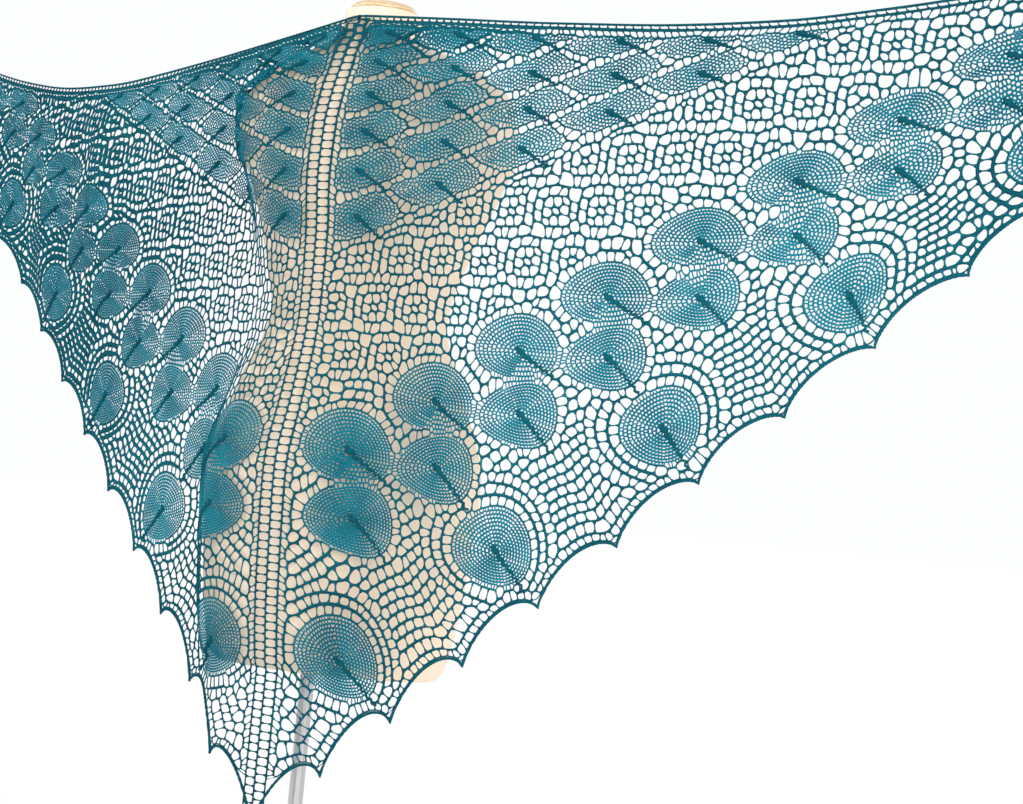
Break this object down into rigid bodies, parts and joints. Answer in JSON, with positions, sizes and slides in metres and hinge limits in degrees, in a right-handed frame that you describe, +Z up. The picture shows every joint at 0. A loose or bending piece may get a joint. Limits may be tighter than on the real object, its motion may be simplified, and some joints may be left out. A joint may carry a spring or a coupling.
{
  "type": "knitted lace shawl on a dress form",
  "caption": "Large triangular knitted lace shawl with a pointed hem, hung over the back of a limbless dress form on a pole stand, its wings held out to both sides.",
  "frame": {"origin": "centre of the round base's flat underside, on the pole's axis", "axes": "+Z up; +X along the shawl's right wing as seen from behind the form, the part's longest extent; the shawl's spine and the form's back face -Y"},
  "size_m": [2.331, 0.3334, 1.608],
  "materials": {
    "lace_wool": "matt dark teal lace-weight wool with a slight sheen",
    "form_linen": "smooth cream linen cover, matt",
    "cap_wood": "pale varnished wood, satin",
    "stand_steel": "brushed steel tube, satin",
    "base_metal": "light grey powder coat, matt"
  },
  "bodies": {
    "root": {"leaf_yoke_right": "lace_wool", "leaf_yoke_left": "lace_wool", "square_lattice_right": "lace_wool", "square_lattice_left": "lace_wool", "leaf_band_right": "lace_wool", "leaf_band_left": "lace_wool", "pointed_border_right": "lace_wool", "pointed_border_left": "lace_wool", "top_edging_right": "lace_wool", "top_edging_left": "lace_wool", "cast_off_edge_right": "lace_wool", "cast_off_edge_left": "lace_wool", "spine_ladder": "lace_wool", "form_torso": "form_linen", "neck_cap": "cap_wood", "stand_pole": "stand_steel", "base_socket": "stand_steel", "stand_base": "base_metal"}
  },
  "joints": []
}
